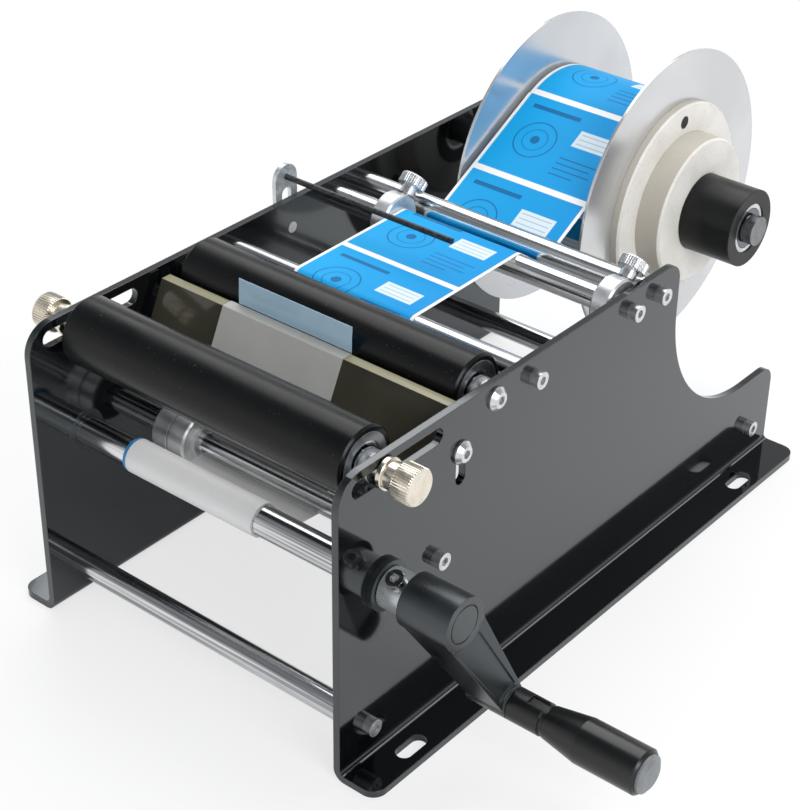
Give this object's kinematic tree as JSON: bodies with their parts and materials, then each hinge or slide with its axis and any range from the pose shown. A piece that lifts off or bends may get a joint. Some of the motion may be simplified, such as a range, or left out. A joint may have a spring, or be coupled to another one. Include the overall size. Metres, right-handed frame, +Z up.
{
  "type": "manual bottle labeling machine",
  "caption": "Hand-cranked bench machine: a folded sheet frame with rods, rubber rollers, a peel plate and a flanged reel that feeds labels onto a bottle.",
  "frame": {"origin": "on the table plane, midway between the side plates and midway along them", "axes": "+X across the machine towards the crank, +Y towards the reel at the rear, +Z up"},
  "size_m": [0.2754, 0.35, 0.18],
  "materials": {
    "plate_black": "gloss black paint",
    "rod_chrome": "polished",
    "screw_steel": "machined",
    "axle_steel": "turned",
    "collar_alu": "satin, turned",
    "core_alu": "turned",
    "bearing_steel": "ground",
    "roller_rubber": "satin, ground",
    "nickel": "nickel plated, knurled",
    "zinc": "zinc plated",
    "smoked_acrylic": "smoked, polished",
    "block_alu": "milled",
    "bush_plastic": "moulded",
    "crank_plastic": "fine texture",
    "grip_plastic": "gloss",
    "cap_plastic": "light grey",
    "mandrel_plastic": "turned, satin",
    "disc_steel": "polished",
    "hub_plastic": "off-white, faint speckle",
    "dark_screw": "blackened",
    "cardboard": "wound board",
    "label_paper": "printed, gloss",
    "liner_paper": "release paper",
    "wire_steel": "dark drawn wire"
  },
  "bodies": {
    "frame": {"right_side_plate": "plate_black", "left_side_plate": "plate_black", "front_tie_rod": "rod_chrome", "rear_tie_rod": "rod_chrome", "liner_rod": "rod_chrome", "feed_rod": "rod_chrome", "guide_rod": "rod_chrome", "upper_rod": "rod_chrome", "rod_screws": "screw_steel", "rear_axle": "axle_steel", "rear_axle_screws": "screw_steel", "shaft_bushes": "bush_plastic", "reel_shaft": "axle_steel", "reel_nut": "screw_steel", "label_web": "label_paper", "peel_web": "liner_paper", "liner_return": "liner_paper", "finger_screw": "screw_steel"},
    "liner_stop": {"liner_collar": "collar_alu"},
    "left_guide": {"label_guide_left": "collar_alu"},
    "right_guide": {"label_guide_right": "collar_alu"},
    "left_thumb_screw": {"thumb_screw_left": "nickel"},
    "right_thumb_screw": {"thumb_screw_right": "nickel"},
    "rear_roller": {"rear_roller_core": "core_alu", "rear_roller_sleeve": "roller_rubber", "rear_roller_bearings": "bearing_steel"},
    "front_carriage": {"front_axle": "axle_steel"},
    "front_roller": {"front_roller_core": "core_alu", "front_roller_sleeve": "roller_rubber", "front_roller_bearings": "bearing_steel"},
    "right_knob": {"knob_right": "nickel"},
    "left_knob": {"knob_left": "nickel"},
    "peel": {"peel_plate": "smoked_acrylic", "peel_blocks": "block_alu", "peel_screws": "screw_steel", "dispensed_label": "label_paper"},
    "crank": {"crank_shaft": "rod_chrome", "shaft_clip": "dark_screw", "takeup_roll": "liner_paper", "clamp_sleeve": "zinc", "clamp_screw": "screw_steel", "crank_arm": "crank_plastic", "handle_spindle": "axle_steel"},
    "handle": {"handle_grip": "grip_plastic", "grip_cap": "cap_plastic"},
    "reel": {"mandrel": "mandrel_plastic", "mandrel_bearings": "bearing_steel", "left_disc": "disc_steel", "left_hub": "hub_plastic", "left_hub_screws": "dark_screw", "label_core": "cardboard", "label_roll": "label_paper"},
    "reel_side": {"right_disc": "disc_steel", "right_hub": "hub_plastic", "right_hub_screws": "dark_screw"},
    "finger": {"finger_bracket": "zinc", "finger_wire": "wire_steel"}
  },
  "joints": [
    {"name": "crank_spin", "type": "hinge", "parent": "frame", "child": "crank", "pos_m": [0, -0.1235, 0.0765], "axis": [1, 0, 0], "continuous": true},
    {"name": "handle_spin", "type": "hinge", "parent": "crank", "child": "handle", "pos_m": [0.15, -0.10152, 0.03103], "axis": [1, 0, 0], "continuous": true},
    {"name": "reel_spin", "type": "hinge", "parent": "frame", "child": "reel", "pos_m": [0, 0.134, 0.112], "axis": [1, 0, 0], "continuous": true},
    {"name": "reel_side_slide", "type": "slide", "parent": "reel", "child": "reel_side", "axis": [1, 0, 0], "range_m": [0, 0.024]},
    {"name": "rear_roller_spin", "type": "hinge", "parent": "frame", "child": "rear_roller", "pos_m": [0, -0.0615, 0.124], "axis": [1, 0, 0], "continuous": true},
    {"name": "front_roller_slide", "type": "slide", "parent": "frame", "child": "front_carriage", "axis": [0, 1, 0], "range_m": [-0.013, 0.02]},
    {"name": "front_roller_spin", "type": "hinge", "parent": "front_carriage", "child": "front_roller", "pos_m": [0, -0.1235, 0.124], "axis": [1, 0, 0], "continuous": true},
    {"name": "right_knob_turn", "type": "hinge", "parent": "front_carriage", "child": "right_knob", "pos_m": [0.088, -0.1235, 0.124], "axis": [1, 0, 0], "range_deg": [0, 360]},
    {"name": "left_knob_turn", "type": "hinge", "parent": "front_carriage", "child": "left_knob", "pos_m": [-0.088, -0.1235, 0.124], "axis": [1, 0, 0], "range_deg": [0, 360]},
    {"name": "peel_slide", "type": "slide", "parent": "frame", "child": "peel", "axis": [0, 0, 1], "range_m": [-0.011, 0], "deforming": ["peel_web"]},
    {"name": "liner_stop_slide", "type": "slide", "parent": "frame", "child": "liner_stop", "axis": [1, 0, 0], "range_m": [-0.013, 0]},
    {"name": "left_guide_slide", "type": "slide", "parent": "frame", "child": "left_guide", "axis": [1, 0, 0], "range_m": [-0.024, 0]},
    {"name": "right_guide_slide", "type": "slide", "parent": "frame", "child": "right_guide", "axis": [1, 0, 0], "range_m": [-0.04, 0]},
    {"name": "left_thumb_turn", "type": "hinge", "parent": "left_guide", "child": "left_thumb_screw", "pos_m": [-0.0429, 0.0255, 0.1226], "axis": [0, 0.7431, 0.6691], "range_deg": [0, 360]},
    {"name": "right_thumb_turn", "type": "hinge", "parent": "right_guide", "child": "right_thumb_screw", "pos_m": [0.0688, 0.0255, 0.1226], "axis": [0, 0.7431, 0.6691], "range_deg": [0, 360]},
    {"name": "finger_slide", "type": "slide", "parent": "frame", "child": "finger", "axis": [0, 0, 1], "range_m": [-0.007, 0.003]}
  ],
  "couplings": [
    {"joint": "reel_spin", "follows": "crank_spin", "ratio": -0.1573},
    {"joint": "rear_roller_spin", "follows": "crank_spin", "ratio": 0.5036}
  ]
}
